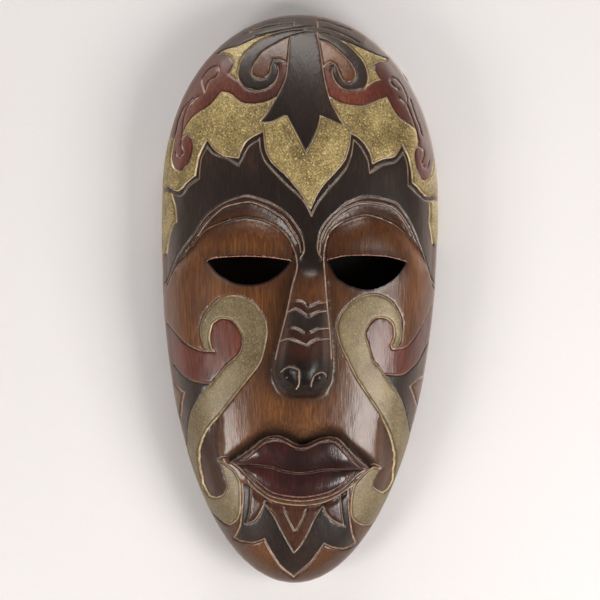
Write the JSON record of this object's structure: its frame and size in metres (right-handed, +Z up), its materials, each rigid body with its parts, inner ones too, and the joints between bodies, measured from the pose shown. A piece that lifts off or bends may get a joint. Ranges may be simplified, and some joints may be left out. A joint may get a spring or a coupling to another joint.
{
  "type": "carved wooden mask",
  "caption": "Tall oval carved wooden wall mask with two half-moon eye slots, a hollow back and a hinged ring hanger.",
  "frame": {"origin": "where a wall hook carries the raised ring, on the wall plane that the mask's back edge lies on", "axes": "+Z up the mask, +Y into the wall (the face looks along -Y), +X to the right as the face is seen"},
  "size_m": [0.2438, 0.1134, 0.4998],
  "materials": {
    "stained_wood": "stained and varnished, with bronze paint",
    "zinc_strap": "zinc plated",
    "nickel_wire": "nickel plated",
    "zinc_screw": "zinc plated"
  },
  "bodies": {
    "mask": {"mask_body": "stained_wood", "hanger_strap": "zinc_strap", "hanger_screw": "zinc_screw"},
    "ring": {"hanger_ring": "nickel_wire"}
  },
  "joints": [
    {"name": "ring_swing", "type": "hinge", "parent": "mask", "child": "ring", "pos_m": [0, -0.00542, -0.0128], "axis": [1, 0, 0], "range_deg": [0, 165]}
  ]
}
